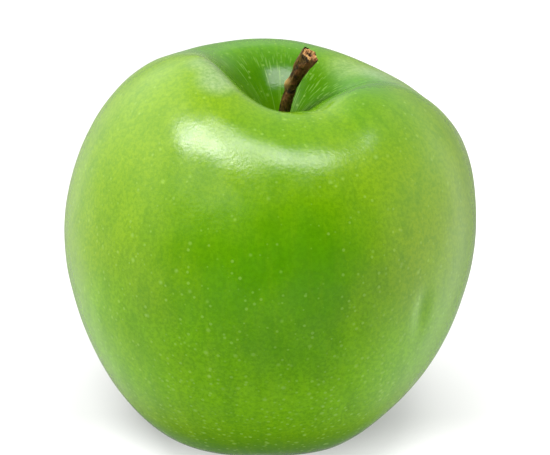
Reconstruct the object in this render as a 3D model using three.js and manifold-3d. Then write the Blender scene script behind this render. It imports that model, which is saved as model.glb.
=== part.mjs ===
// A green apple as picked: the fruit, its woody stem, and the dried calyx in the hollow under it.
// Millimetres, +Z up along the core. The apple stands at z = 0, and the origin lies on that
// surface under the middle of the fruit's outline. The stem bends towards +X, and -Y is the front.
import * as THREE from "three";
import Module from "manifold-3d";

const TURN = 2 * Math.PI;
const { degToRad, radToDeg, smoothstep, clamp, euclideanModulo } = THREE.MathUtils;

// The fruit's mean half-section: heights above the surface, distances from the core
const WIDEST_RADIUS = 39;
const WIDEST_HEIGHT = 42;
const CREST_RADIUS = 16.3; // the crest is the highest ring, round the stem cavity
const CREST_HEIGHT = 72.4;
const FOOT_RADIUS = 11.7; // the foot is the lowest ring, round the calyx basin
const FOOT_PRESS = 0.35; // how deep the foot would sink, were it not flat where it stands
const CAVITY_DEPTH = 14.6;
const BASIN_DEPTH = 7.5;
const BASIN_ROOF_RADIUS = 3.4;

// How far each stretch of the section runs on before it turns: more is fuller
const CREST_OUTWARD = 13.6;
const CREST_INWARD = 4.8;
const CAVITY_UPWARD = 5.5;
const WIDEST_UPWARD = 13.6;
const WIDEST_DOWNWARD = 24.8;
const FOOT_OUTWARD = 13.7;
const FOOT_INWARD = 5;
const BASIN_DOWNWARD = 3.5;

// How the fruit departs from a turned shape: waves round the core, high towards an angle in degrees
const CORE_LEAN = 0.027; // sideways over height, towards +X
const CAVITY_SHIFT = new THREE.Vector2(1.7, 1.1);
const CREST_WAVES = [
  { lobes: 1, size: 3.0, towards: 206 },
  { lobes: 2, size: 1.0, towards: 181 },
  { lobes: 3, size: 1.35, towards: 87 },
];
const GIRTH_WAVES = [
  { lobes: 2, size: 0.009, towards: 0 },
  { lobes: 3, size: 0.01, towards: 17 },
];
const BASE_LOBES = [{ lobes: 5, size: 0.025, towards: 86 }];
const FURROW = { depth: 0.8, towards: 300, halfTurn: 14 };
const DENT = { depth: 0.5, towards: 317, height: 37, halfWidth: 2.2, halfHeight: 4.5 };

// The stem stands in a socket at the bottom of the cavity; its line passes points across and up
// from the socket's mouth
const GAP = 0.3;
const SOCKET_DEPTH = 4;
const STEM_LINE = [
  [0, GAP - SOCKET_DEPTH],
  [0, 0],
  [0.75, 6.5],
  [1.9, 11.3],
  [3.6, 15.2],
  [5.4, 18.3],
];
const STEM_ROOT_RADIUS = 1.35;
const STEM_WAIST_RADIUS = 1.02;
const STEM_END_RADIUS = 1.75;
const STEM_RIDGES = { count: 5, height: 0.07, twist: 4 };
const STEM_KNOBS = { count: 5, height: 0.22 };
const STEM_PIT_DEPTH = 0.8;
const BUD_SCAR = { height: 0.55, along: 0.71, halfLength: 0.04, towards: 190, halfTurn: 34 };

// The calyx is five dried sepals that close over a button; their line passes points out from the
// core, each some share of the length down
const SEPALS = 5;
const SEPAL_LENGTH = 6.2;
const SEPAL_LINE = [
  [1.6, 0],
  [3.1, 0.28],
  [2.4, 0.6],
  [1.5, 0.8],
  [2.3, 0.95],
];
const SEPAL_WIDTH = 3.6;
const SEPAL_THICKNESS = 0.8;
const SEPAL_TAPER = 1.6; // the higher, the nearer its tip a sepal narrows
const SEPAL_TIP_RADIUS = 0.3;
const SEPAL_CUP = 0.3; // how far a sepal's edges turn in, over its half width
const BUTTON_RADIUS = 2.7;
const BUTTON_HEIGHT = 1.6;
const BUTTON_BEVEL = 0.6;

// Facets
const FRUIT_SIDES = 72;
const CAVITY_STEPS = 10;
const SHOULDER_STEPS = 16;
const FLANK_STEPS = 20;
const BASIN_STEPS = 8;
const STEM_SIDES = 18;
const STEM_STEPS = 34;
const SEPAL_STEPS = 10;
const SEPAL_SIDES = 8;
const BUTTON_SIDES = 20;

// The middle of the cavity's floor and of the basin's roof, both on the leaning core
const cavityFloor = CREST_HEIGHT - CAVITY_DEPTH;
const stemRoot = new THREE.Vector3(CORE_LEAN * cavityFloor, 0, cavityFloor);
stemRoot.x += CAVITY_SHIFT.x;
stemRoot.y += CAVITY_SHIFT.y;
const basinRoof = new THREE.Vector3(CORE_LEAN * BASIN_DEPTH, 0, BASIN_DEPTH);

// A closed skin over rings of points, with one point before the first ring and one after the last.
function closedRings(first, rings, last) {
  const sides = rings[0].length;
  const points = [first, ...rings.flat(), last];
  const end = points.length - 1;
  const faces = [];
  for (let side = 0; side < sides; side++) {
    const next = (side + 1) % sides;
    faces.push(0, 1 + side, 1 + next);
    for (let ring = 1; ring < rings.length; ring++) {
      const there = 1 + ring * sides;
      const here = there - sides;
      faces.push(here + side, there + side, here + next);
      faces.push(here + next, there + side, there + next);
    }
    faces.push(end - sides + side, end, end - sides + next);
  }
  const geometry = new THREE.BufferGeometry().setFromPoints(points).setIndex(faces);
  geometry.computeVertexNormals();
  return geometry;
}

function anglesRound(sides) {
  return Array.from({ length: sides }, (_, side) => (side / sides) * TURN);
}

// The sum of some waves round the core, at an angle.
function sumOf(waves, angle) {
  const heights = waves.map((w) => w.size * Math.cos(w.lobes * (angle - degToRad(w.towards))));
  return heights.reduce((sum, height) => sum + height, 0);
}

// A smooth hump, 1 where a distance is nought and fading over a width to each side.
function hump(distance, width) {
  return Math.exp(-((distance / width) ** 2));
}

// How many degrees an angle lies from a direction given in degrees.
function degreesFrom(angle, towards) {
  return euclideanModulo(radToDeg(angle) - towards + 180, 360) - 180;
}

// A stretch of the section, from one (radius, height) to another by way of two handles.
function stretch(from, fromHandle, toHandle, to, steps) {
  const corners = [from, fromHandle, toHandle, to].map(([x, y]) => new THREE.Vector2(x, y));
  return new THREE.CubicBezierCurve(...corners).getPoints(steps).slice(1);
}

// The fruit's section from the socket's mouth to the crest, and from the crest to the basin's roof.
function fruitSection() {
  const mouth = [STEM_ROOT_RADIUS + GAP, cavityFloor];
  const crest = [CREST_RADIUS, CREST_HEIGHT];
  const widest = [WIDEST_RADIUS, WIDEST_HEIGHT];
  const foot = [FOOT_RADIUS, -FOOT_PRESS];
  const roof = [BASIN_ROOF_RADIUS, BASIN_DEPTH];
  const cavity = stretch(
    mouth,
    [mouth[0] + 1, cavityFloor + CAVITY_UPWARD],
    [CREST_RADIUS - CREST_INWARD, CREST_HEIGHT],
    crest,
    CAVITY_STEPS,
  );
  const shoulder = stretch(
    crest,
    [CREST_RADIUS + CREST_OUTWARD, CREST_HEIGHT],
    [WIDEST_RADIUS, WIDEST_HEIGHT + WIDEST_UPWARD],
    widest,
    SHOULDER_STEPS,
  );
  const flank = stretch(
    widest,
    [WIDEST_RADIUS, WIDEST_HEIGHT - WIDEST_DOWNWARD],
    [FOOT_RADIUS + FOOT_OUTWARD, -FOOT_PRESS],
    foot,
    FLANK_STEPS,
  );
  const basin = stretch(
    foot,
    [FOOT_RADIUS - FOOT_INWARD, -FOOT_PRESS],
    [BASIN_ROOF_RADIUS, BASIN_DEPTH - BASIN_DOWNWARD],
    roof,
    BASIN_STEPS,
  );
  return {
    cavity: [new THREE.Vector2(...mouth), ...cavity],
    outside: [...shoulder, ...flank, ...basin],
  };
}

// Where a point of the mean section lies on the lobed and leaning fruit.
function onFruit({ x: radius, y: height }, angle, inCavity) {
  const rise = smoothstep(height, WIDEST_HEIGHT, CREST_HEIGHT);
  const crestShare = inCavity ? smoothstep(radius, 0, CREST_RADIUS) : rise;
  const furrow = FURROW.depth * hump(degreesFrom(angle, FURROW.towards), FURROW.halfTurn);
  const lift = (sumOf(CREST_WAVES, angle) - furrow) * crestShare;
  const lowness = clamp(1 - height / WIDEST_HEIGHT, 0, 1);
  const girth = 1 + sumOf(GIRTH_WAVES, angle) + sumOf(BASE_LOBES, angle) * lowness;
  const acrossDent = degToRad(degreesFrom(angle, DENT.towards)) * radius;
  const dent =
    DENT.depth * hump(acrossDent, DENT.halfWidth) * hump(height - DENT.height, DENT.halfHeight);
  const reach = radius * girth - dent;
  const shift = inCavity ? 1 : rise;
  return new THREE.Vector3(
    reach * Math.cos(angle) + CORE_LEAN * height + CAVITY_SHIFT.x * shift,
    reach * Math.sin(angle) + CAVITY_SHIFT.y * shift,
    Math.max(height + lift, 0),
  );
}

function fruitGeometry() {
  const { cavity, outside } = fruitSection();
  const angles = anglesRound(FRUIT_SIDES);
  const ringAt = (point, inCavity) => angles.map((angle) => onFruit(point, angle, inCavity));
  const rings = [
    ...cavity.map((point) => ringAt(point, true)),
    ...outside.map((point) => ringAt(point, false)),
  ];
  const socketFloor = rings[0].map((p) => p.clone().setZ(cavityFloor - SOCKET_DEPTH));
  const socketMiddle = stemRoot.clone().setZ(cavityFloor - SOCKET_DEPTH);
  return closedRings(socketMiddle, [socketFloor, ...rings], basinRoof);
}

// The stem's centre line: upright out of its socket, then bending over towards +X.
function stemLine() {
  const points = STEM_LINE.map(([across, up]) => new THREE.Vector3(across, 0, up).add(stemRoot));
  return new THREE.CatmullRomCurve3(points);
}

// The stem's radius at a share of its length and an angle round it.
function stemRadius(along, angle) {
  const { count, height, twist } = STEM_RIDGES;
  const root = (STEM_ROOT_RADIUS - STEM_WAIST_RADIUS) * (1 - smoothstep(along, 0.1, 0.5));
  const flare = (STEM_END_RADIUS - STEM_WAIST_RADIUS) * smoothstep(along, 0.55, 1) ** 2.5;
  const ridges = height * Math.cos(count * angle + twist * along) * smoothstep(along, 0.2, 0.35);
  const knobs =
    STEM_KNOBS.height * Math.cos(STEM_KNOBS.count * angle + 1) * smoothstep(along, 0.86, 1);
  const scar =
    BUD_SCAR.height *
    hump(degreesFrom(angle, BUD_SCAR.towards), BUD_SCAR.halfTurn) *
    hump(along - BUD_SCAR.along, BUD_SCAR.halfLength);
  return STEM_WAIST_RADIUS + root + flare + ridges + knobs + scar;
}

// A ring round the stem's line, a share of its radius wide and a little way ahead of its place.
function stemRing(line, along, share, ahead) {
  const back = new THREE.Vector3(0, 1, 0);
  const forward = line.getTangentAt(along);
  const right = new THREE.Vector3().crossVectors(back, forward).normalize();
  const centre = line.getPointAt(along).addScaledVector(forward, ahead);
  return anglesRound(STEM_SIDES).map((angle) => {
    const reach = share * stemRadius(along, angle);
    return centre
      .clone()
      .addScaledVector(right, reach * Math.cos(angle))
      .addScaledVector(back, reach * Math.sin(angle));
  });
}

function stemGeometry() {
  const line = stemLine();
  const shares = Array.from({ length: STEM_STEPS + 1 }, (_, step) => step / STEM_STEPS);
  const lip = stemRing(line, 1, 0.65, 0.25);
  const pit = stemRing(line, 1, 0.3, -STEM_PIT_DEPTH);
  const rings = [...shares.map((along) => stemRing(line, along, 1, 0)), lip, pit];
  const pitMiddle = line.getPointAt(1).addScaledVector(line.getTangentAt(1), -STEM_PIT_DEPTH);
  return closedRings(pitMiddle, rings.reverse(), line.getPointAt(0));
}

// One sepal, rooted at z = 0 and hanging: it bows out, closes in, and curls out at its tip.
function sepalGeometry() {
  const points = SEPAL_LINE.map(([out, down]) => new THREE.Vector3(out, 0, -down * SEPAL_LENGTH));
  const line = new THREE.CatmullRomCurve3(points);
  const across = new THREE.Vector3(0, 1, 0);
  const rings = [];
  for (let step = 0; step <= SEPAL_STEPS; step++) {
    const along = step / SEPAL_STEPS;
    const outward = new THREE.Vector3().crossVectors(line.getTangentAt(along), across).normalize();
    const halfWidth = (SEPAL_WIDTH / 2) * (1 - along ** SEPAL_TAPER) + SEPAL_TIP_RADIUS;
    const ring = anglesRound(SEPAL_SIDES).map((corner) => {
      const cup = SEPAL_CUP * halfWidth * Math.sin(corner) ** 2;
      return line
        .getPointAt(along)
        .addScaledVector(outward, (SEPAL_THICKNESS / 2) * Math.cos(corner) - cup)
        .addScaledVector(across, halfWidth * Math.sin(corner));
    });
    rings.push(ring);
  }
  return closedRings(line.getPointAt(0), rings, line.getPointAt(1));
}

function buttonGeometry() {
  const profile = [
    [BUTTON_RADIUS, 0],
    [BUTTON_RADIUS, BUTTON_BEVEL - BUTTON_HEIGHT],
    [BUTTON_RADIUS - BUTTON_BEVEL, -BUTTON_HEIGHT],
  ];
  const rings = profile.map(([radius, z]) =>
    anglesRound(BUTTON_SIDES).map(
      (angle) => new THREE.Vector3(radius * Math.cos(angle), radius * Math.sin(angle), z),
    ),
  );
  const top = new THREE.Vector3(0, 0, 0);
  const bottom = new THREE.Vector3(0, 0, -BUTTON_HEIGHT);
  return closedRings(top, rings, bottom);
}

// The sepals and their button, joined in one solid.
async function calyxGeometry() {
  const wasm = await Module();
  wasm.setup();
  const solidOf = (geometry) =>
    new wasm.Manifold(
      new wasm.Mesh({
        numProp: 3,
        vertProperties: geometry.getAttribute("position").array,
        triVerts: new Uint32Array(geometry.index.array),
      }),
    );
  const sepals = anglesRound(SEPALS).map((angle) => solidOf(sepalGeometry().rotateZ(angle)));
  const joined = sepals.reduce((sum, sepal) => sum.add(sepal), solidOf(buttonGeometry()));
  const { vertProperties, triVerts } = joined.getMesh();
  const geometry = new THREE.BufferGeometry();
  geometry.setAttribute("position", new THREE.BufferAttribute(vertProperties, 3));
  geometry.setIndex(new THREE.BufferAttribute(triVerts, 1));
  geometry.computeVertexNormals();
  return geometry;
}

function piece(name, geometry, color, roughness) {
  const material = new THREE.MeshStandardMaterial({ color, roughness, metalness: 0 });
  const mesh = new THREE.Mesh(geometry, material);
  mesh.name = name;
  return mesh;
}

const fruit = piece("fruit", fruitGeometry(), 0x6fae1c, 0.35);
const stem = piece("stem", stemGeometry(), 0x4b3517, 0.85);
const calyx = piece("calyx", await calyxGeometry(), 0x6b5a3a, 0.9);
calyx.position.copy(basinRoof);
calyx.position.z -= GAP;

// The lobes and the lean put the fruit's outline off its core, so the group is set back over the origin
const outline = new THREE.Box3().setFromObject(fruit).getCenter(new THREE.Vector3());
const apple = new THREE.Group();
apple.add(fruit, stem, calyx);
apple.position.set(-outline.x, -outline.y, 0);

const model = new THREE.Group();
model.add(apple);

export default model;
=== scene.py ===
"""The looks of the green apple: fine skin, bark and dried sepals, on a plain white floor.

Shapes are worked out in millimetres, in the CAD model's frame: +Z up, -Y the front.
"""

import math

import bpy
import numpy as np
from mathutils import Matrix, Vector, noise


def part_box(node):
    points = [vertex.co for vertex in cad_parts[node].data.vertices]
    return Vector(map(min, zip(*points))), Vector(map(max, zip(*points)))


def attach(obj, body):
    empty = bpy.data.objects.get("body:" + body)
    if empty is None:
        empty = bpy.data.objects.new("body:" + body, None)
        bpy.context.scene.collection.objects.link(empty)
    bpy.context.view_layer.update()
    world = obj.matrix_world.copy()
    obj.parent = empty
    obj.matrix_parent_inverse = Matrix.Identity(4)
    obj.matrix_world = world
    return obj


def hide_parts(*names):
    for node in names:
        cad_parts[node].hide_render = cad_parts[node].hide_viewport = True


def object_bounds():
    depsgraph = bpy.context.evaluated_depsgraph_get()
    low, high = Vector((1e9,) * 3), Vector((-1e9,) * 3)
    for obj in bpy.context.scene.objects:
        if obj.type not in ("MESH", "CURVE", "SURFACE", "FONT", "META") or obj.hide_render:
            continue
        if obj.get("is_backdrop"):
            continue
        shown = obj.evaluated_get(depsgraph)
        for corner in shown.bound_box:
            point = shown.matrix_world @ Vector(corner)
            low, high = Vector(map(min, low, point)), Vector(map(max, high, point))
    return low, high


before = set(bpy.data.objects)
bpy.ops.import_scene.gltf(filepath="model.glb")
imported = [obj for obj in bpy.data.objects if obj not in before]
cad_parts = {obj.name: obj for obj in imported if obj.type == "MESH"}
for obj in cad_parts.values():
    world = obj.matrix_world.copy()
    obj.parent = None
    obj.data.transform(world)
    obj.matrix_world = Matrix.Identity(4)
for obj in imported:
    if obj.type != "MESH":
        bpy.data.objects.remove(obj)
cad_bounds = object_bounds()

MM = 0.001

# The fruit's mean half-section, as in the CAD model: heights, and distances from the core
WIDEST_RADIUS = 39.0
WIDEST_HEIGHT = 42.0
CREST_RADIUS = 16.3
CREST_HEIGHT = 72.4
FOOT_RADIUS = 11.7
FOOT_PRESS = 0.35
CAVITY_DEPTH = 14.6
CAVITY_FLOOR = CREST_HEIGHT - CAVITY_DEPTH
BASIN_DEPTH = 7.5
BASIN_ROOF_RADIUS = 3.4

# How far each handle of its curves reaches
MOUTH_OUTWARD = 1.0
CAVITY_UPWARD = 5.5
CREST_INWARD = 4.8
CREST_OUTWARD = 13.6
WIDEST_UPWARD = 13.6
WIDEST_DOWNWARD = 24.8
FOOT_OUTWARD = 13.7
FOOT_INWARD = 5.0
BASIN_DOWNWARD = 3.5

# How it departs from a turned shape: (lobes, size, angle in degrees that the wave is high towards)
CORE_LEAN = 0.027
CAVITY_SHIFT = (1.7, 1.1)
CREST_WAVES = ((1, 3.0, 206), (2, 1.0, 181), (3, 1.35, 87))
GIRTH_WAVES = ((2, 0.009, 0), (3, 0.01, 17))
BASE_LOBES = ((5, 0.025, 86),)
FURROWS = ((0.8, 300, 14), (0.5, 17, 9))  # depth, angle and half width in degrees
DENT_DEPTH = 0.5
DENT_TOWARDS = 317
DENT_HEIGHT = 37.0
DENT_HALF_WIDTH = 2.2
DENT_HALF_HEIGHT = 4.5

# Swells of the skin: their size, how far they rise, and where their noise is taken from
SWELLS = ((14, 0.22, (0, 0, 0)), (5, 0.06, (7, 3, 1)))
SWELLS_FADE_IN = (0.3, 3.0)  # heights above the floor
SOCKET_RINGS = 6  # rings beyond the socket's floor that the swells leave alone

# The stem: its line is (across, up) from the cavity's floor
GAP = 0.3  # between the socket's floor and the stem's root
MOUTH_GAP = 0.05  # the fine skin closes up to the stem
SOCKET_DEPTH = 4.0
STEM_LINE = (
    (0.0, GAP - SOCKET_DEPTH),
    (0.0, 0.0),
    (0.75, 6.5),
    (1.9, 11.3),
    (3.6, 15.2),
    (5.4, 18.3),
)
STEM_ROOT_RADIUS = 1.35
STEM_WAIST_RADIUS = 1.02
STEM_END_RADIUS = 1.75
STEM_FLARE_BEND = 2.5
STEM_RIDGES = 5
STEM_RIDGE_HEIGHT = 0.07
STEM_RIDGE_TWIST = 4
STEM_KNOB_HEIGHT = 0.22
SCAR_HEIGHT = 0.55
SCAR_ALONG = 0.71
SCAR_HALF_LENGTH = 0.04
SCAR_TOWARDS = 190
SCAR_HALF_TURN = 34

# Where these start and end, as shares of the stem's length
ROOT_ALONG = (0.1, 0.5)
FLARE_ALONG = (0.55, 1)
RIDGES_ALONG = (0.2, 0.35)
KNOBS_ALONG = (0.86, 1)
RELIEF_ALONG = (0.05, 0.25)
TILT_ALONG = (0.9, 1)

# The bark's relief: how far it is drawn out lengthwise, its size round the stem, and its height
BARK_WRINKLES = (9, 0.55, 0.16)
BARK_CRACKS = (5, 0.22, 0.10)
BARK_LUMPS = (1.3, 0.8, 0.12)

# The stem's torn end, from the bark's edge to the pit: share of the radius, and height
TORN_END = (
    (1.0, 0.0),
    (0.96, 0.14),
    (0.90, 0.10),
    (0.85, -0.16),
    (0.80, -0.10),
    (0.74, 0.22),
    (0.64, 0.34),
    (0.54, 0.24),
    (0.46, -0.15),
    (0.34, -0.65),
    (0.20, -0.85),
    (0.06, -0.90),
)
END_TILT = 0.35
FRAYS = ((0.5, 0.35, 3), (0.25, 0.12, 4))  # height, size and seed
FRAY_DRAWN_IN = 3  # how much faster it changes across the end than round it

# Where these fade on the torn end, as shares of its radius
FRAY_INSIDE = (0.3, 0.6)
FRAY_OUTSIDE = (0.93, 1)
WOOD_EDGE = (0.84, 0.92)
PIT_EDGE = (0.38, 0.56)

# The calyx: a sepal's line passes points out from the core, each some share of its length down
SEPALS = 5
SEPAL_LENGTH = 6.2
SEPAL_LINE = ((1.6, 0.0), (3.1, 0.28), (2.4, 0.6), (1.5, 0.8), (2.3, 0.95))
SEPAL_WIDTH = 3.6
SEPAL_THICKNESS = 0.45
SEPAL_TAPER = 1.6
SEPAL_TIP_RADIUS = 0.18
SEPAL_CUP = 0.3
SEPAL_CURL = 0.5
SEPAL_SWAY = 0.5
SEPAL_TURN_SPREAD = 0.1
SEPAL_RUFFLE = 0.7
SEPAL_CRINKLE = 0.12
SEPAL_RAGGED = 0.18
SEPAL_VEINS = 9
SEPAL_VEIN_HEIGHT = 0.07
BUTTON_LINE = ((0.1, -1.9), (0.9, -1.75), (1.9, -1.5), (2.5, -1.0), (2.7, -0.3), (2.7, 0.1))
BUTTON_RELIEF = 0.15
STAMENS = 18
STAMEN_RADIUS = 0.11
STAMEN_KNOB_RADIUS = 0.26
STYLES = 5
STYLE_RADIUS = 0.16
STYLE_KNOB_RADIUS = 0.24
THREAD_KNOB_ALONG = 0.9
THREAD_KNOB_HALF_LENGTH = 0.1
THREAD_ASIDE = (0.31, 0.95, 0.1)  # a direction that no thread runs in

# The mesh
FRUIT_SIDES = 360
CAVITY_STEPS = 60
SHOULDER_STEPS = 70
FLANK_STEPS = 90
BASIN_STEPS = 30
STEM_SIDES = 120
STEM_STEPS = 240
END_STEPS = 44
SEPAL_SIDES = 44
SEPAL_STEPS = 70
BUTTON_SIDES = 60
BUTTON_STEPS = 30
THREAD_SIDES = 8
THREAD_STEPS = 16
LINE_STEPS = 100  # fine steps between two corners of a smooth line

# The camera, where the photograph's was
CAMERA_DISTANCE = 450.0
CAMERA_ELEVATION = 27.0
CAMERA_TARGET = (0.93, 2.70, 39.71)
PHOTO_WIDTH = 550
PIXELS_PER_MM = 5.197  # at the target
SENSOR_WIDTH = 36.0

# The light: each softbox's left, right, front and back edge in metres, and its brightness
SOFTBOX_HEIGHT = 1.0
SOFTBOXES = {
    "softbox_left": ((-0.66, -0.10, -0.37, -0.15), 36.0),
    "softbox_right": ((-0.10, 0.42, -0.24, -0.01), 18.0),
    "softbox_front": ((-1.20, -0.30, -1.05, -0.60), 2.3),
}
FLOOR_HALF_WIDTH = 3.0

# Colours of the skin, as linear red, green and blue, and full opacity
GROUND_GREEN = (0.135, 0.243, 0.001, 1)
# Deeper green: the skin's own in front, and painted shade on the far rim, in a furrow and along the
# front of the rim
DEEP_AND_SHADE_GREEN = (0.050, 0.175, 0.000, 1)
# Sunnier yellow-green: partly the skin's own, partly painted sheen
SUNNY_AND_SHEEN_GREEN = (0.190, 0.275, 0.000, 1)
# Painted sheen: pale grey-green laid on as colour where the rim reflects bright light
PAINTED_SHEEN_GREEN = (0.29, 0.36, 0.25, 1)
# Lighter green low down: partly the skin's own, partly painted light bounced up from the floor
LOW_AND_BOUNCE_GREEN = (0.134, 0.318, 0.000, 1)
# Painted shade: dark green round the foot, where the fruit meets the floor
FOOT_SHADE_GREEN = (0.036, 0.122, 0.000, 1)
STREAK_GREEN = (0.15, 0.26, 0.002, 1)
BLOTCH_GREEN = (0.030, 0.125, 0.0, 1)
MOTTLE_GREEN = (0.032, 0.12, 0.0, 1)
# Deeper green in the stem cavity: partly the skin's own, partly painted shade of the hollow
CAVITY_AND_SHADE_GREEN = (0.018, 0.085, 0.0, 1)
DASH_GREEN = (0.16, 0.29, 0.05, 1)
DOT_GREEN = (0.27, 0.42, 0.08, 1)
RUSSET = (0.215, 0.185, 0.055, 1)

# Colours of the stem
BARK_DARK = (0.007, 0.004, 0.001, 1)
BARK_LIGHT = (0.070, 0.040, 0.004, 1)
BARK_RED = (0.125, 0.048, 0.014, 1)
BARK_OLIVE = (0.062, 0.058, 0.003, 1)
BARK_FLECKS = (0.24, 0.15, 0.035, 1)
# Painted shade: the stem's foot, down in the cavity, nearly black
BARK_FOOT_SHADE = (0.010, 0.008, 0.001, 1)
SCAR_TAN = (0.34, 0.22, 0.065, 1)
WOOD_RED = (0.32, 0.12, 0.05, 1)
WOOD_TAN = (0.42, 0.27, 0.09, 1)
PIT_BROWN = (0.030, 0.014, 0.008, 1)

# Colours of the calyx and the floor
SEPAL_GREY_GREEN = (0.135, 0.125, 0.055, 1)
SEPAL_BROWN = (0.075, 0.040, 0.018, 1)
SEPAL_WOOL = (0.34, 0.31, 0.22, 1)
THREAD_DARK = (0.030, 0.016, 0.009, 1)
THREAD_LIGHT = (0.15, 0.085, 0.04, 1)
FLOOR_DARK = (0.41, 0.41, 0.41, 1)
FLOOR_LIGHT = (0.43, 0.43, 0.43, 1)
WHITE = (1, 1, 1, 1)

# Patches of the skin: the middle in metres, how far from it the patch starts to fade and has
# faded out, and how much of it there is in the middle
# Deeper green patches: the first, in front, is the skin's own colour; the other four are painted
# shade on the far rim, in the furrow right of the cavity and along the front of the rim
DEEP_AND_SHADE_PATCHES = (
    ((0.004, -0.038, 0.038), 0.008, 0.044, 1.0),
    ((-0.002, 0.018, 0.071), 0.008, 0.024, 0.90),
    ((0.016, 0.003, 0.070), 0.004, 0.016, 1.0),
    ((0.004, -0.020, 0.072), 0.004, 0.017, 0.45),
    ((0.021, -0.014, 0.071), 0.004, 0.017, 0.60),
)
# Sunnier patches on the right: partly the skin's own yellower green, partly painted sheen
SUNNY_AND_SHEEN_PATCHES = (
    ((0.030, -0.019, 0.060), 0.006, 0.024, 0.30),
    ((0.025, -0.027, 0.041), 0.004, 0.019, 0.40),
)
# Painted sheen on the inner left rim of the cavity and on the right rim
PAINTED_SHEEN_PATCHES = (
    ((-0.0115, -0.0055, 0.0767), 0.0010, 0.0050, 0.35),
    ((-0.0098, -0.0105, 0.0760), 0.0010, 0.0050, 0.45),
    ((0.0150, 0.0130, 0.0688), 0.0010, 0.0060, 0.26),
    ((0.0215, 0.0115, 0.0675), 0.0010, 0.0070, 0.40),
)

# Pale dots of the skin: their spacing in metres, the broadest one's radius in spacings, and
# how strong they are
DOTS = ((0.0013, 0.20, 0.24), (0.0027, 0.11, 0.28))

# The radius in metres at which the streaks measure their turn round the core
STREAK_RADIUS = 0.035


def smoothstep(value, low, high):
    share = np.clip((value - low) / (high - low), 0, 1)
    return share * share * (3 - 2 * share)


def hump(distance, width):
    return np.exp(-((distance / width) ** 2))


def unit(vectors):
    return vectors / np.maximum(np.linalg.norm(vectors, axis=-1, keepdims=True), 1e-9)


def sum_of(waves, angle):
    return sum(size * np.cos(lobes * (angle - math.radians(at))) for lobes, size, at in waves)


def angles_round(sides):
    return np.linspace(0, 2 * math.pi, sides, endpoint=False)


def degrees_from(angle, towards):
    return (np.degrees(angle) - towards + 180) % 360 - 180


def uneven(points, size, seed=0):
    """Noise of about a size at a grid of points, from -1 to 1."""
    away = Vector((seed * 17.3, seed * 5.1, seed * 9.7))
    values = [noise.noise(Vector(point) / size + away) for point in points.reshape(-1, 3)]
    return np.array(values).reshape(points.shape[:-1])


def shell_faces(count, sides, start):
    """The faces of a closed shell: a point, a number of rings, and a point."""
    end = start + 1 + count * sides
    faces = []
    for side in range(sides):
        follow = (side + 1) % sides
        faces.append((start, start + 1 + side, start + 1 + follow))
        faces.append((end - sides + side, end, end - sides + follow))
    for ring in range(1, count):
        there = start + 1 + ring * sides
        here = there - sides
        for side in range(sides):
            follow = (side + 1) % sides
            faces.append((here + side, there + side, there + follow, here + follow))
    return faces


def closed(grid):
    """A grid's values in a list, with the mean of its first ring before and of its last after."""
    width = grid.shape[2:] or (1,)
    return np.vstack([grid[0].mean(axis=0), grid.reshape(-1, *width), grid[-1].mean(axis=0)])


def mesh_of_shells(name, shells, marks=None):
    """A smooth mesh of closed shells of rings, with a value of each mark for every ring point."""
    faces = []
    start = 0
    for rings in shells:
        faces += shell_faces(*rings.shape[:2], start)
        start += 2 + rings.shape[0] * rings.shape[1]
    points = np.vstack([closed(rings) for rings in shells]) * MM
    mesh = bpy.data.meshes.new(name)
    mesh.from_pydata(points.tolist(), [], faces)
    mesh.shade_smooth()
    for mark, grids in (marks or {}).items():
        values = np.vstack([closed(grid) for grid in grids])
        mesh.attributes.new(mark, "FLOAT", "POINT").data.foreach_set("value", values.ravel())
    return mesh


def add_piece(name, mesh, material):
    piece = bpy.data.objects.new(name, mesh)
    bpy.context.collection.objects.link(piece)
    mesh.materials.append(material)
    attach(piece, "root")
    return piece


def smooth_line(corners, steps):
    """Evenly spaced points of a smooth line through some corners, and its directions there."""
    corners = np.array(corners, dtype=float)
    before = 2 * corners[0] - corners[1]
    after = 2 * corners[-1] - corners[-2]
    hops = np.diff(np.vstack([before, corners, after]), axis=0)
    times = np.sqrt(np.linalg.norm(hops, axis=1, keepdims=True))
    speeds = hops / times
    passing = speeds[:-1] + speeds[1:] - (hops[:-1] + hops[1:]) / (times[:-1] + times[1:])
    share = np.linspace(0, 1, LINE_STEPS)[:, None]
    late = share * share * (3 - 2 * share)
    leaving = share * (1 - share) ** 2
    arriving = share * share * (share - 1)
    stretches = []
    for index in range(len(corners) - 1):
        start, end = corners[index], corners[index + 1]
        bend = leaving * passing[index] + arriving * passing[index + 1]
        stretches.append(start + (end - start) * late + bend * times[index + 1])
    fine = np.vstack(stretches)
    walked = np.cumsum(np.linalg.norm(np.diff(fine, axis=0, prepend=fine[:1]), axis=1))
    even = np.linspace(0, walked[-1], steps + 1)
    line = np.stack([np.interp(even, walked, fine[:, axis]) for axis in range(3)], axis=1)
    return line, unit(np.gradient(line, axis=0))


def rings_about(line, directions, side, reach, ahead=0.0):
    """Rings about a line, from a side square to it, each point a reach out and a way ahead."""
    angles = angles_round(reach.shape[1])
    right = unit(side)[:, None]
    back = unit(np.cross(directions, side))[:, None]
    outward = right * np.cos(angles)[:, None] + back * np.sin(angles)[:, None]
    forward = directions[:, None] * np.broadcast_to(ahead, reach.shape)[..., None]
    return line[:, None] + outward * reach[..., None] + forward


def stretch(start, start_handle, end_handle, end, steps):
    """Points of a cubic stretch of the section, without its first one."""
    along = np.linspace(0, 1, steps + 1)[1:, None]
    back = 1 - along
    corners = [np.array(p) for p in (start, start_handle, end_handle, end)]
    weights = (back**3, 3 * back**2 * along, 3 * back * along**2, along**3)
    return sum(weight * corner for weight, corner in zip(weights, corners))


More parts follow.
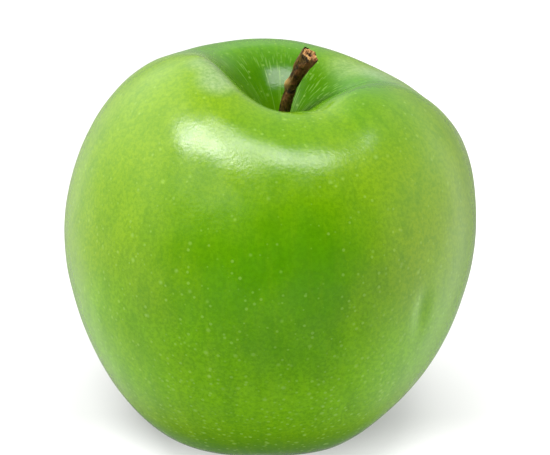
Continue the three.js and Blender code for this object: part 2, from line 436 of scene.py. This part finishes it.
def fruit_section():
    """The section from the socket's mouth to the crest, and from there to the basin's roof."""
    mouth = (STEM_ROOT_RADIUS + MOUTH_GAP, CAVITY_FLOOR)
    crest = (CREST_RADIUS, CREST_HEIGHT)
    widest = (WIDEST_RADIUS, WIDEST_HEIGHT)
    foot = (FOOT_RADIUS, -FOOT_PRESS)
    roof = (BASIN_ROOF_RADIUS, BASIN_DEPTH)
    cavity = stretch(
        mouth,
        (mouth[0] + MOUTH_OUTWARD, CAVITY_FLOOR + CAVITY_UPWARD),
        (CREST_RADIUS - CREST_INWARD, CREST_HEIGHT),
        crest,
        CAVITY_STEPS,
    )
    shoulder = stretch(
        crest,
        (CREST_RADIUS + CREST_OUTWARD, CREST_HEIGHT),
        (WIDEST_RADIUS, WIDEST_HEIGHT + WIDEST_UPWARD),
        widest,
        SHOULDER_STEPS,
    )
    flank = stretch(
        widest,
        (WIDEST_RADIUS, WIDEST_HEIGHT - WIDEST_DOWNWARD),
        (FOOT_RADIUS + FOOT_OUTWARD, -FOOT_PRESS),
        foot,
        FLANK_STEPS,
    )
    basin = stretch(
        foot,
        (FOOT_RADIUS - FOOT_INWARD, -FOOT_PRESS),
        (BASIN_ROOF_RADIUS, BASIN_DEPTH - BASIN_DOWNWARD),
        roof,
        BASIN_STEPS,
    )
    return np.vstack([[mouth], cavity]), np.vstack([shoulder, flank, basin])


def on_fruit(section, angles, in_cavity):
    """The lobed and leaning rings that a stretch of the mean section stands for."""
    radius = section[:, :1]
    height = section[:, 1:]
    rise = smoothstep(height, WIDEST_HEIGHT, CREST_HEIGHT)
    crest_share = smoothstep(radius, 0, CREST_RADIUS) if in_cavity else rise
    furrow = sum(depth * hump(degrees_from(angles, at), wide) for depth, at, wide in FURROWS)
    lift = (sum_of(CREST_WAVES, angles) - furrow) * crest_share
    lowness = np.clip(1 - height / WIDEST_HEIGHT, 0, 1)
    girth = 1 + sum_of(GIRTH_WAVES, angles) + sum_of(BASE_LOBES, angles) * lowness
    across_dent = np.radians(degrees_from(angles, DENT_TOWARDS)) * radius
    dent = hump(across_dent, DENT_HALF_WIDTH) * hump(height - DENT_HEIGHT, DENT_HALF_HEIGHT)
    reach = radius * girth - DENT_DEPTH * dent
    shift = 1.0 if in_cavity else rise
    x = reach * np.cos(angles) + CORE_LEAN * height + CAVITY_SHIFT[0] * shift
    y = reach * np.sin(angles) + CAVITY_SHIFT[1] * shift
    z = np.maximum(height + lift, 0)
    return np.stack([x, y, z], axis=-1)


def fruit_rings():
    """The fruit's rings, from the socket's floor over the crest to the basin's roof."""
    inside, outside = fruit_section()
    angles = angles_round(FRUIT_SIDES)
    cavity = on_fruit(inside, angles, in_cavity=True)
    body = on_fruit(outside, angles, in_cavity=False)
    socket_floor = cavity[:1].copy()
    socket_floor[..., 2] = CAVITY_FLOOR - SOCKET_DEPTH
    return np.concatenate([socket_floor, cavity, body])


def swelling(rings):
    """Gentle uneven swells, in millimetres outwards, that no apple is without."""
    points = [Vector(point) for point in rings.reshape(-1, 3)]
    amount = 0
    for size, rise, start in SWELLS:
        values = [noise.noise(point / size + Vector(start)) for point in points]
        amount = amount + rise * np.array(values)
    return amount.reshape(rings.shape[:2])


def ring_normals(rings):
    """Outward unit normals of a grid of rings."""
    along = np.gradient(rings, axis=0)
    around = np.roll(rings, -1, axis=1) - np.roll(rings, 1, axis=1)
    return unit(np.cross(along, around))


def make_fruit():
    """Makes the skin, and returns how far it moves to the middle of the CAD fruit's box."""
    rings = fruit_rings()
    clear = smoothstep(rings[..., 2], *SWELLS_FADE_IN)
    outside_socket = np.arange(len(rings))[:, None] > SOCKET_RINGS
    rings = rings + ring_normals(rings) * (swelling(rings) * clear * outside_socket)[..., None]
    low, high = (np.array(corner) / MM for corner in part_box("fruit"))
    shift = (low + high) / 2 - (rings.min(axis=(0, 1)) + rings.max(axis=(0, 1))) / 2
    shift[2] = 0
    rings = rings + shift
    mesh = mesh_of_shells("skin", [rings])
    fruit = add_piece("apple_skin", mesh, skin_material(shift))
    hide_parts("fruit")
    return shift


def bark_relief(along, angles, length):
    """Lengthwise wrinkles and rough patches of the bark, in millimetres outwards."""
    flat = [np.cos(angles) + 0 * along, np.sin(angles) + 0 * along]
    layers = []
    for seed, (drawn_out, size, height) in enumerate((BARK_WRINKLES, BARK_CRACKS, BARK_LUMPS)):
        places = np.stack([*flat, along * length / drawn_out + 0 * angles], -1)
        layers.append(height * uneven(places, size, seed))
    wrinkles, cracks, lumps = layers
    return wrinkles - np.abs(cracks) + lumps


def stem_radius(along, angles):
    """The stem's radius, and how much of the bud scar there is."""
    root = (STEM_ROOT_RADIUS - STEM_WAIST_RADIUS) * (1 - smoothstep(along, *ROOT_ALONG))
    flare = smoothstep(along, *FLARE_ALONG) ** STEM_FLARE_BEND
    flare = (STEM_END_RADIUS - STEM_WAIST_RADIUS) * flare
    ridges = np.cos(STEM_RIDGES * angles + STEM_RIDGE_TWIST * along)
    ridges = STEM_RIDGE_HEIGHT * ridges * smoothstep(along, *RIDGES_ALONG)
    knobs = STEM_KNOB_HEIGHT * np.cos(STEM_RIDGES * angles + 1) * smoothstep(along, *KNOBS_ALONG)
    scar = hump(degrees_from(angles, SCAR_TOWARDS), SCAR_HALF_TURN)
    scar = scar * hump(along - SCAR_ALONG, SCAR_HALF_LENGTH)
    return STEM_WAIST_RADIUS + root + flare + ridges + knobs + SCAR_HEIGHT * scar, scar


def torn_profile(angles):
    """The torn end's share of the stem's radius in each ring, and its frayed heights."""
    shares, heights = np.array(TORN_END).T
    steps = np.linspace(0, len(shares) - 1, END_STEPS + 1)[:0:-1]
    share = np.interp(steps, np.arange(len(shares)), shares)[:, None]
    height = np.interp(steps, np.arange(len(shares)), heights)[:, None]
    flat = [np.cos(angles) + 0 * share, np.sin(angles) + 0 * share]
    frayed = np.stack([share * FRAY_DRAWN_IN + 0 * angles, *flat], -1)
    fray = sum(rise * uneven(frayed, size, seed) for rise, size, seed in FRAYS)
    fray = fray * smoothstep(share, *FRAY_INSIDE) * (1 - smoothstep(share, *FRAY_OUTSIDE))
    return share, height + fray


def make_stem(shift):
    """The bent stem, from its torn end down to its root in the socket."""
    root = np.array([CORE_LEAN * CAVITY_FLOOR + CAVITY_SHIFT[0], CAVITY_SHIFT[1], CAVITY_FLOOR])
    corners = [root + shift + (across, 0, up) for across, up in STEM_LINE]
    line, directions = smooth_line(corners, STEM_STEPS)
    line, directions = line[::-1], directions[::-1]
    length = np.linalg.norm(np.diff(line, axis=0), axis=1).sum()
    angles = angles_round(STEM_SIDES)
    side = np.cross((0, 1, 0), directions)

    along = np.linspace(1, 0, STEM_STEPS + 1)[:, None]
    radius, scar = stem_radius(along, angles)
    rough = bark_relief(along, angles, length) * smoothstep(along, *RELIEF_ALONG)
    tilt = END_TILT * np.sin(angles)
    tilted = tilt * smoothstep(along, *TILT_ALONG)
    bark = rings_about(line, directions, side, radius + rough, tilted)

    share, height = torn_profile(angles)
    top = [np.repeat(part[:1], END_STEPS, axis=0) for part in (line, directions, side)]
    torn = rings_about(*top, share * (radius + rough)[:1], height + tilt * share)

    end, rest = torn.shape[:2], bark.shape[:2]
    marks = {
        "along": np.vstack([np.ones(end), np.broadcast_to(along, rest)]),
        "wood": np.vstack([1 - smoothstep(share + 0 * angles, *WOOD_EDGE), np.zeros(rest)]),
        "pit": np.vstack([1 - smoothstep(share + 0 * angles, *PIT_EDGE), np.zeros(rest)]),
        "scar": np.vstack([np.zeros(end), scar]),
    }
    marks = {name: [grid[..., None]] for name, grid in marks.items()}
    mesh = mesh_of_shells("stem", [np.concatenate([torn, bark])], marks)
    stem = add_piece("apple_stem", mesh, bark_material())
    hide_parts("stem")


def sepal_rings(index):
    """A dried sepal that bows out, closes in and curls in its own way, turned round the core."""
    curl = SEPAL_CURL * math.sin(index * 2.4)
    corners = [(out + curl * down * down, 0, -down * SEPAL_LENGTH) for out, down in SEPAL_LINE]
    line, directions = smooth_line(corners, SEPAL_STEPS)
    along = np.linspace(0, 1, SEPAL_STEPS + 1)[:, None]
    angles = angles_round(SEPAL_SIDES)
    edge = np.sin(angles)
    half_width = SEPAL_WIDTH / 2 * (1 - along**SEPAL_TAPER) + SEPAL_TIP_RADIUS
    thickness = SEPAL_THICKNESS * (1 - 0.5 * along)
    places = np.stack([edge + 0 * along, along * 5 + 0 * edge, 0 * along + 0 * edge], -1)
    ruffle = uneven(places, 0.9, index) * np.abs(edge) * SEPAL_RUFFLE
    ruffle = ruffle + uneven(places, 0.28, index + 9) * SEPAL_CRINKLE
    veins = SEPAL_VEIN_HEIGHT * np.cos(SEPAL_VEINS * edge) * smoothstep(along, 0, 0.15)
    cup = SEPAL_CUP * half_width * edge**2
    lift = thickness / 2 * np.cos(angles) - cup + veins + ruffle * smoothstep(along, 0.1, 0.5)
    sway = SEPAL_SWAY * math.cos(index * 1.9) * along**2
    ragged = 1 + SEPAL_RAGGED * uneven(places[:, :1], 0.5, index + 4)
    across = half_width * edge * ragged + sway
    outward = np.cross(directions, (0, 1, 0))
    rings = line[:, None] + outward[:, None] * lift[..., None]
    rings[..., 1] += across
    turn = 2 * math.pi * index / SEPALS
    turn = turn + SEPAL_TURN_SPREAD * math.sin(3 * turn)
    cos, sin = math.cos(turn), math.sin(turn)
    return rings @ np.array([[cos, sin, 0], [-sin, cos, 0], [0, 0, 1]])


def button_rings():
    """The low uneven button that the sepals grow from."""
    angles = angles_round(BUTTON_SIDES)[::-1]
    line = smooth_line([(out, 0, down) for out, down in BUTTON_LINE], BUTTON_STEPS)[0][::-1]
    flat = np.stack([np.cos(-angles), np.sin(-angles)], -1)
    button = np.concatenate([line[:, None, :1] * flat, line[:, None, 2:] + 0 * flat[..., :1]], -1)
    button[..., 2] += BUTTON_RELIEF * uneven(button, 0.6, 5)
    return button


def stamen_corners(index):
    """A stamen's line, which leans in and sways its own way."""
    turn = 2 * math.pi * index / STAMENS + 0.3 * math.sin(index * 2.7)
    leaning = 1.4 + 0.5 * math.sin(index * 4.1)
    tip = 0.9 + 0.6 * math.sin(index * 1.3)
    reach = np.array([1.9, 1.9, leaning, tip])
    drop = -np.array([1.2, 2.2, 3.2, 4.1 + 0.5 * math.cos(index * 3.7)])
    bend = turn + np.array([0, 0.05, 0.25, 0.5]) * math.sin(index * 1.7)
    return np.stack([reach * np.cos(bend), reach * np.sin(bend), drop], -1)


def style_corners(index):
    """A style's line, close to the core and parting at its end."""
    turn = 2 * math.pi * (index + 0.4) / STYLES
    reach = np.array([0.25, 0.3, 0.4, 0.75])
    drop = -np.array([1.4, 2.4, 3.5, 4.6 + 0.3 * math.sin(index * 2.2)])
    return np.stack([reach * math.cos(turn), reach * math.sin(turn), drop], -1)


def thread_rings(corners, radius, knob_radius):
    """A dried thread that ends in a small knob."""
    line, directions = smooth_line(corners, THREAD_STEPS)
    side = np.cross(directions, THREAD_ASIDE)
    along = np.linspace(0, 1, THREAD_STEPS + 1)[:, None]
    from_knob = (along - THREAD_KNOB_ALONG) / THREAD_KNOB_HALF_LENGTH
    knob = (knob_radius - radius) * np.sqrt(np.clip(1 - from_knob**2, 0, 1))
    return rings_about(line, directions, -side, (radius + knob) * np.ones(THREAD_SIDES))


def marks_along(rings):
    """A mark that goes from 0 on the first ring to 1 on the last."""
    along = np.linspace(0, 1, len(rings))[:, None, None]
    return np.broadcast_to(along, (*rings.shape[:2], 1))


def make_calyx(shift):
    """The sepals on their button, and the threads between them, under the basin's roof."""
    roof = np.array([CORE_LEAN * BASIN_DEPTH, 0, BASIN_DEPTH]) + shift
    leaves = [sepal_rings(index) for index in range(SEPALS)] + [button_rings()]
    threads = []
    for index in range(STAMENS):
        threads.append(thread_rings(stamen_corners(index), STAMEN_RADIUS, STAMEN_KNOB_RADIUS))
    for index in range(STYLES):
        threads.append(thread_rings(style_corners(index), STYLE_RADIUS, STYLE_KNOB_RADIUS))

    marks = {"along": [marks_along(rings) for rings in leaves]}
    mesh = mesh_of_shells("sepals", [rings + roof for rings in leaves], marks)
    sepal_piece = add_piece("apple_sepals", mesh, sepal_material())
    mesh = mesh_of_shells("stamens", [rings + roof for rings in threads])
    stamen_piece = add_piece("apple_stamens", mesh, stamen_material())
    for piece in (sepal_piece, stamen_piece):
        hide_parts("calyx")


class Tree:
    """The node tree of a material or a world, written as sums rather than as single nodes."""

    def __init__(self, name, kept_in=bpy.data.materials):
        self.owner = kept_in.new(name)
        self.owner.use_nodes = True
        self.nodes = self.owner.node_tree.nodes
        self.links = self.owner.node_tree.links
        self.nodes.clear()

    def add(self, kind, inputs=None, **settings):
        made = self.nodes.new(kind)
        for name, value in settings.items():
            setattr(made, name, value)
        for name, value in (inputs or {}).items():
            if isinstance(value, bpy.types.NodeSocket):
                self.links.new(value, made.inputs[name])
            else:
                made.inputs[name].default_value = value
        return made

    def place(self, kind="Object"):
        return self.add("ShaderNodeTexCoord").outputs[kind]

    def split(self, place):
        return self.add("ShaderNodeSeparateXYZ", {0: place}).outputs[:3]

    def sum(self, operation, *values):
        inputs = dict(enumerate(values))
        return self.add("ShaderNodeMath", inputs, operation=operation).outputs[0]

    def plus(self, one, other):
        return self.sum("ADD", one, other)

    def minus(self, one, other):
        return self.sum("SUBTRACT", one, other)

    def times(self, one, other):
        return self.sum("MULTIPLY", one, other)

    def vector_sum(self, operation, *values):
        inputs = dict(enumerate(values))
        return self.add("ShaderNodeVectorMath", inputs, operation=operation).outputs[0]

    def length(self, vector):
        return self.add("ShaderNodeVectorMath", {0: vector}, operation="LENGTH").outputs["Value"]

    def ramp(self, value, low, high, to_low=0.0, to_high=1.0):
        """A value eased from one range to another."""
        inputs = {0: value, 1: low, 2: high, 3: to_low, 4: to_high}
        kind = "ShaderNodeMapRange"
        return self.add(kind, inputs, interpolation_type="SMOOTHSTEP").outputs[0]

    def mix(self, share, one, other):
        inputs = {0: share, 6: one, 7: other}
        return self.add("ShaderNodeMix", inputs, data_type="RGBA").outputs[2]

    def noise(self, place, size, detail=3.0, roughness=0.5):
        """Noise from 0 to 1, whose patches are about a size in metres across."""
        inputs = {"Vector": place, "Scale": 1 / size, "Detail": detail, "Roughness": roughness}
        return self.add("ShaderNodeTexNoise", inputs).outputs[0]

    def cells(self, place, size):
        """The distance to the nearest of many scattered points, in cells, and its cell's colour."""
        found = self.add("ShaderNodeTexVoronoi", {"Vector": place, "Scale": 1 / size})
        return found.outputs["Distance"], found.outputs["Color"]

    def mark(self, name):
        """A value that the mesh carries at its points."""
        return self.add("ShaderNodeAttribute", attribute_name=name).outputs["Fac"]

    def bump(self, height, strength, depth):
        inputs = {"Height": height, "Strength": strength, "Distance": depth}
        return self.add("ShaderNodeBump", inputs).outputs["Normal"]

    def finish(self, **sockets):
        """Ends in one glossy surface with the sockets named, and returns the material."""
        named = {name.replace("_", " "): value for name, value in sockets.items()}
        surface = self.add("ShaderNodeBsdfPrincipled", named)
        output = self.add("ShaderNodeOutputMaterial")
        self.links.new(surface.outputs[0], output.inputs[0])
        return self.owner


def paint_patches(tree, ground, place, patches, paint, drift=0.0):
    """Lays a paint over the ground in round patches, whose edges drift in and out."""
    for middle, start, stop, share in patches:
        away = tree.length(tree.vector_sum("SUBTRACT", place, middle))
        patch = tree.ramp(tree.plus(away, drift), start, stop, share, 0.0)
        ground = tree.mix(patch, ground, paint)
    return ground


def skin_ground(tree, place, z):
    """Yellow-green, deeper in patches (some painted shade), sunnier in patches (partly painted
    sheen), with painted sheen on the rims, lighter low down (partly painted light bounced from the
    floor), and painted shade at the foot.
    """
    drift = tree.ramp(tree.noise(place, 0.020, detail=2.0), 0.3, 0.7, -0.004, 0.004)
    ground = paint_patches(tree, GROUND_GREEN, place, DEEP_AND_SHADE_PATCHES, DEEP_AND_SHADE_GREEN, drift)
    ground = paint_patches(tree, ground, place, SUNNY_AND_SHEEN_PATCHES, SUNNY_AND_SHEEN_GREEN, drift)
    ground = paint_patches(tree, ground, place, PAINTED_SHEEN_PATCHES, PAINTED_SHEEN_GREEN)
    # Lighter low down, partly painted light bounced up from the floor
    low = tree.ramp(tree.plus(z, drift), 0.052, 0.022, 0.0, 0.85)
    low = tree.times(low, tree.ramp(z, 0.010, 0.026, 0.10, 1.0))
    ground = tree.mix(low, ground, LOW_AND_BOUNCE_GREEN)
    # Painted shade round the foot
    return tree.mix(tree.ramp(z, 0.017, 0.006, 0.0, 0.85), ground, FOOT_SHADE_GREEN)


def skin_streaks(tree, ground, place, streak_place):
    """Streaks and blotches that run from the stem to the calyx, and fine mottling over them."""
    streak = tree.noise(tree.vector_sum("MULTIPLY", streak_place, (1, 1, 0.12)), 0.0011, 4.0)
    ground = tree.mix(tree.ramp(streak, 0.45, 0.75, 0, 0.16), ground, STREAK_GREEN)
    blotch = tree.noise(tree.vector_sum("MULTIPLY", streak_place, (1, 1, 0.35)), 0.0032, 3.0)
    ground = tree.mix(tree.ramp(blotch, 0.45, 0.70, 0, 0.22), ground, BLOTCH_GREEN)
    mottle = tree.noise(place, 0.0007, detail=3.0, roughness=0.7)
    return tree.mix(tree.ramp(mottle, 0.35, 0.65, 0.36, 0), ground, MOTTLE_GREEN)


def skin_in_cavity(tree, ground, in_cavity, streak_place):
    """A deeper green in the stem cavity, partly the skin's own and partly painted shade of the
    hollow, with pale dashes down its wall.
    """
    ground = tree.mix(tree.times(in_cavity, 0.66), ground, CAVITY_AND_SHADE_GREEN)
    near = tree.cells(tree.vector_sum("MULTIPLY", streak_place, (0.85, 0.85, 0.95)), 0.0011)[0]
    dash = tree.times(tree.ramp(near, 0.46, 0.22, 0.0, 0.40), in_cavity)
    return tree.mix(dash, ground, DASH_GREEN)


def skin_in_basin(tree, ground, place, shift):
    """Tan russet that creeps out of the calyx basin in thin rays."""
    middle = ((shift[0] + CORE_LEAN * BASIN_DEPTH) * MM, shift[1] * MM, BASIN_DEPTH * MM)
    from_basin = tree.vector_sum("SUBTRACT", place, middle)
    rays = tree.noise(tree.vector_sum("NORMALIZE", from_basin), 0.09, detail=4.0)
    reach = tree.minus(tree.length(from_basin), tree.ramp(rays, 0.35, 0.7, 0.0, 0.005))
    return tree.mix(tree.ramp(reach, 0.0055, 0.0025, 0.0, 0.65), ground, RUSSET)


def skin_dots(tree, ground, place, z):
    """Lenticels: many pale pin-pricks and fewer broad dots, thicker on the lower half."""
    thick = tree.ramp(z, 0.062, 0.012, 0.25, 0.85)
    for spacing, broadest, strength in DOTS:
        near, cell = tree.cells(place, spacing)
        chance = tree.add("ShaderNodeSeparateColor", {0: cell}).outputs[0]
        size = tree.ramp(tree.plus(chance, thick), 0.45, 1.42, -0.07, broadest)
        dot = tree.ramp(tree.minus(near, size), 0.14, -0.08, 0, strength)
        ground = tree.mix(dot, ground, DOT_GREEN)
    return ground


def skin_dullness(tree, z, towards, in_cavity):
    """How dull it is: all of the cavity but for a gleam on its back wall, and round the foot."""
    towards_back = tree.split(towards)[1]
    gleam = tree.times(tree.ramp(towards_back, 0.90, 0.98), tree.ramp(z, 0.0655, 0.0675))
    gleam = tree.times(gleam, tree.ramp(z, 0.0698, 0.0687, 0.0, 0.75))
    dull = tree.times(in_cavity, tree.minus(1.0, gleam))
    return tree.sum("MAXIMUM", dull, tree.ramp(z, 0.024, 0.011))


def skin_material(shift):
    """Green skin, coloured by the place on the fruit, with painted shade and sheen in places, and a
    fine pebbled gloss.
    """
    tree = Tree("apple_skin")
    place = tree.place()
    z = tree.split(place)[2]

    # Polar places round the core, which the streaks follow
    core_x = (shift[0] + CAVITY_SHIFT[0] + CORE_LEAN * CREST_HEIGHT) * MM
    core_y = (shift[1] + CAVITY_SHIFT[1]) * MM
    from_core = tree.vector_sum("SUBTRACT", place, (core_x, core_y, 0))
    flat = tree.vector_sum("MULTIPLY", from_core, (1, 1, 0))
    towards = tree.vector_sum("NORMALIZE", flat)
    away = tree.length(flat)
    turned = tree.vector_sum("MULTIPLY", towards, (STREAK_RADIUS, STREAK_RADIUS, 0))
    descent = tree.add("ShaderNodeCombineXYZ", {2: tree.minus(away, z)}).outputs[0]
    streak_place = tree.vector_sum("ADD", turned, descent)
    in_cavity = tree.times(tree.ramp(away, 0.0165, 0.009), tree.ramp(z, 0.050, 0.055))

    ground = skin_ground(tree, place, z)
    ground = skin_streaks(tree, ground, place, streak_place)
    ground = skin_in_cavity(tree, ground, in_cavity, streak_place)
    ground = skin_in_basin(tree, ground, place, shift)
    ground = skin_dots(tree, ground, place, z)
    dull = skin_dullness(tree, z, towards, in_cavity)

    pebble = tree.noise(place, 0.0006, detail=2.0)
    waves = tree.noise(place, 0.0045, detail=2.0)
    relief = tree.plus(pebble, tree.times(waves, 0.6))
    rough = tree.ramp(tree.noise(place, 0.004, detail=4.0), 0.3, 0.7, 0.20, 0.27)
    return tree.finish(
        Base_Color=ground,
        Roughness=rough,
        IOR=1.36,
        Specular_IOR_Level=tree.ramp(dull, 0, 1, 0.5, 0.04),
        Normal=tree.bump(relief, 0.35, 0.00008),
        Subsurface_Weight=0.08,
        Subsurface_Radius=(0.8, 1.0, 0.2),
        Subsurface_Scale=0.0015,
    )


def bark_colour(tree, along, grain, patches, flecks):
    """Brown bark, redder high up, olive low down and nearly black at the foot in painted shade,
    with a tan bud scar.
    """
    bark = tree.mix(tree.ramp(grain, 0.40, 0.62), BARK_DARK, BARK_LIGHT)
    red = tree.times(tree.ramp(patches, 0.45, 0.57), tree.ramp(along, 0.45, 0.7, 0.0, 0.8))
    bark = tree.mix(red, bark, BARK_RED)
    olive = tree.times(tree.ramp(along, 0.7, 0.3), tree.ramp(patches, 0.42, 0.58, 0.0, 0.6))
    bark = tree.mix(olive, bark, BARK_OLIVE)
    bark = tree.mix(tree.ramp(flecks, 0.54, 0.66, 0, 0.35), bark, BARK_FLECKS)
    # Painted shade at the stem's foot, down in the cavity
    bark = tree.mix(tree.ramp(along, 0.62, 0.35, 0.0, 0.65), bark, BARK_FOOT_SHADE)
    return tree.mix(tree.mark("scar"), bark, SCAR_TAN)


def bark_material():
    """Wrinkled bark, and torn wood round a dark pit."""
    tree = Tree("stem_bark")
    place = tree.place()
    stretched = tree.vector_sum("MULTIPLY", place, (1, 1, 0.3))
    grain = tree.noise(stretched, 0.0007, detail=5.0, roughness=0.65)
    patches = tree.noise(place, 0.0022, detail=3.0)
    flecks = tree.noise(place, 0.0005, detail=3.0, roughness=0.6)
    bark = bark_colour(tree, tree.mark("along"), grain, patches, flecks)
    fibres = tree.noise(place, 0.0006, detail=4.0)
    wood = tree.mix(tree.ramp(fibres, 0.35, 0.65), WOOD_RED, WOOD_TAN)
    wood = tree.mix(tree.mark("pit"), wood, PIT_BROWN)
    return tree.finish(
        Base_Color=tree.mix(tree.mark("wood"), bark, wood),
        Roughness=tree.ramp(grain, 0.3, 0.7, 0.75, 0.5),
        Specular_IOR_Level=0.15,
        Normal=tree.bump(tree.plus(grain, flecks), 0.6, 0.00025),
    )


def sepal_material():
    """Woolly grey-green sepals, dried brown towards their tips and edges."""
    tree = Tree("sepal_wool")
    place = tree.place()
    wool = tree.noise(place, 0.00035, detail=4.0, roughness=0.7)
    blotches = tree.noise(place, 0.0016, detail=3.0)
    dry = tree.plus(tree.mark("along"), tree.ramp(blotches, 0.3, 0.7, -0.25, 0.25))
    ground = tree.mix(tree.ramp(dry, 0.25, 0.75), SEPAL_GREY_GREEN, SEPAL_BROWN)
    ground = tree.mix(tree.ramp(wool, 0.48, 0.66, 0, 0.65), ground, SEPAL_WOOL)
    return tree.finish(
        Base_Color=ground,
        Roughness=tree.ramp(wool, 0.3, 0.7, 0.8, 0.95),
        Sheen_Weight=0.4,
        Sheen_Roughness=0.5,
        Normal=tree.bump(wool, 0.7, 0.0003),
    )


def stamen_material():
    """Dry mottled brown threads."""
    tree = Tree("dry_threads")
    mottle = tree.noise(tree.place(), 0.0005, detail=3.0)
    return tree.finish(
        Base_Color=tree.mix(tree.ramp(mottle, 0.35, 0.65), THREAD_DARK, THREAD_LIGHT),
        Roughness=tree.ramp(mottle, 0.3, 0.7, 0.6, 0.85),
        Normal=tree.bump(mottle, 0.5, 0.0002),
    )


def floor_material():
    """Pale grey that glows to white, least behind the fruit, and more to the sides and in front."""
    tree = Tree("floor")
    place = tree.place()
    across, along = tree.split(place)[:2]
    grain = tree.ramp(tree.noise(place, 0.3), 0.3, 0.7)
    glow = tree.ramp(tree.sum("ABSOLUTE", across), 0.06, 0.18, 0.12, 1.3)
    glow = tree.plus(glow, tree.ramp(along, 0.0, -0.03, 0.0, 0.70))
    glow = tree.plus(glow, tree.ramp(across, 0.01, 0.035, 0.06, 0.42))
    return tree.finish(
        Base_Color=tree.mix(grain, FLOOR_DARK, FLOOR_LIGHT),
        Roughness=0.9,
        IOR=1.3,
        Emission_Color=WHITE,
        Emission_Strength=glow,
    )


def make_floor():
    """A wide level floor that the skin doesn't mirror, and that isn't sampled as a lamp."""
    half = FLOOR_HALF_WIDTH
    mesh = bpy.data.meshes.new("floor")
    corners = [(-half, -half, 0), (half, -half, 0), (half, half, 0), (-half, half, 0)]
    mesh.from_pydata(corners, [], [(0, 1, 2, 3)])
    floor = bpy.data.objects.new("floor", mesh)
    bpy.context.collection.objects.link(floor)
    surface = floor_material()
    mesh.materials.append(surface)
    floor.visible_glossy = False
    surface.cycles.emission_sampling = "NONE"
    floor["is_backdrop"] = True


def softbox(name, edges, brightness):
    """A level softbox that shines straight down."""
    left, right, front, back = edges
    data = bpy.data.lights.new(name, "AREA")
    data.shape = "RECTANGLE"
    data.size, data.size_y = right - left, back - front
    data.energy = brightness * math.pi * data.size * data.size_y
    light = bpy.data.objects.new(name, data)
    light.location = ((left + right) / 2, (front + back) / 2, SOFTBOX_HEIGHT)
    bpy.context.collection.objects.link(light)


def room_brightness(tree):
    """How bright the room is in each direction."""
    x, y, z = tree.split(tree.place("Generated"))
    aside = tree.sum("ABSOLUTE", x)

    # Dark in front, bright to the sides and behind, and brighter higher up
    lit = tree.ramp(tree.plus(tree.times(aside, 0.9), y), -0.15, 0.70, 0.02, 1.0)
    height = tree.ramp(z, -0.05, 0.45, 0.5, 1.4)

    # In the middle, a little more low down and less higher up
    middle_low = tree.times(tree.ramp(z, -0.10, -0.30, 0.0, 0.2), tree.ramp(aside, 0.6, 0.2))
    middle_high = tree.times(tree.ramp(z, 0.10, 0.35, 0.0, -0.4), tree.ramp(aside, 0.55, 0.25))
    height = tree.plus(tree.plus(height, middle_low), middle_high)

    # More low down on the walls to the left and the right, and high up on the left
    left_wall = tree.times(tree.ramp(x, -0.2, -0.75, 0, 1.05), tree.ramp(y, -0.1, 0.6, 0.45, 1))
    right_wall = tree.times(tree.ramp(x, 0.3, 0.85, 0, 1.75), tree.ramp(y, 0.8, 0.5, 0.2, 1))
    right_wall = tree.times(right_wall, tree.ramp(y, -0.2, 0.4, 0.6, 1.0))
    walls = tree.times(tree.plus(left_wall, right_wall), tree.ramp(z, 0.55, 0.15))
    upper_left = tree.times(tree.ramp(z, 0.05, 0.60, 0.0, 2.2), tree.ramp(x, 0.15, -0.45))
    return tree.times(lit, tree.plus(tree.plus(height, walls), upper_left))


def set_lights():
    """Two softboxes overhead and a dim one in front on the left, in a pale room."""
    for name, (edges, brightness) in SOFTBOXES.items():
        softbox(name, edges, brightness)
    tree = Tree("pale_room", bpy.data.worlds)
    bpy.context.scene.world = tree.owner
    background = tree.add("ShaderNodeBackground", {"Strength": room_brightness(tree)})
    output = tree.add("ShaderNodeOutputWorld")
    tree.links.new(background.outputs[0], output.inputs[0])


def set_camera():
    """Level across, looking down at the fruit from the photograph's place."""
    data = bpy.data.cameras.new("camera")
    data.sensor_fit = "HORIZONTAL"
    data.sensor_width = SENSOR_WIDTH
    data.lens = PIXELS_PER_MM * CAMERA_DISTANCE / PHOTO_WIDTH * SENSOR_WIDTH
    camera = bpy.data.objects.new("camera", data)
    tilt = math.radians(CAMERA_ELEVATION)
    back = np.array([0, -math.cos(tilt), math.sin(tilt)]) * CAMERA_DISTANCE
    camera.location = Vector((np.array(CAMERA_TARGET) + back) * MM)
    camera.rotation_euler = (math.pi / 2 - tilt, 0, 0)
    bpy.context.collection.objects.link(camera)
    bpy.context.scene.camera = camera


fruit_shift = make_fruit()
make_stem(fruit_shift)
make_calyx(fruit_shift)
make_floor()
set_lights()
set_camera()
bpy.context.scene.view_settings.view_transform = "Standard"

boxes = {"cad": cad_bounds, "visual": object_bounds()}
boxes = {name: [list(corner) for corner in box] for name, box in boxes.items()}
